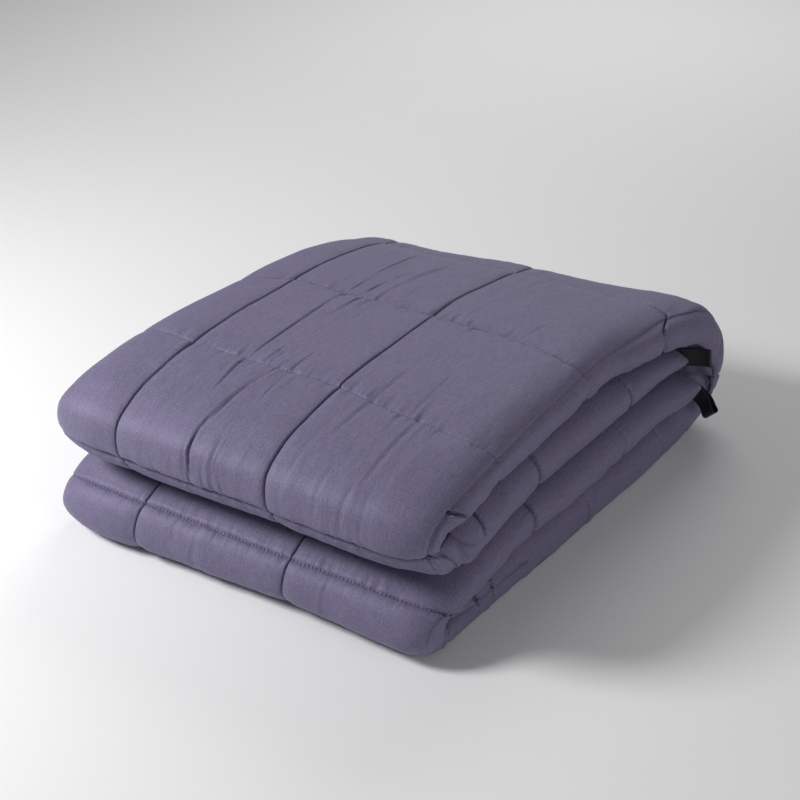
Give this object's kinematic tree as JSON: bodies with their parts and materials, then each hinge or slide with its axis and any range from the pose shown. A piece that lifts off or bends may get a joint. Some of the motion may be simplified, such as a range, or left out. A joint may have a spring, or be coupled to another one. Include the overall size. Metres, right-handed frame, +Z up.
{
  "type": "folded weighted blanket",
  "caption": "Quilted weighted blanket in slate purple-grey cotton, folded into a soft stack with round front folds, a hemmed side and small black ribbon loops.",
  "frame": {"origin": "middle of the bounding box, on the surface that the blanket rests on", "axes": "+Z up, +Y from the round front folds to the back of the stack, +X along the front folds to the hemmed side"},
  "size_m": [0.3642, 0.4226, 0.1327],
  "materials": {
    "cloth": "plain cotton weave, matt with a faint sheen, slate purple-grey",
    "ribbon": "ribbed black ribbon, matt"
  },
  "bodies": {
    "root": {"quilt": "cloth", "loop_upper": "ribbon", "loop_lower": "ribbon"}
  },
  "joints": []
}
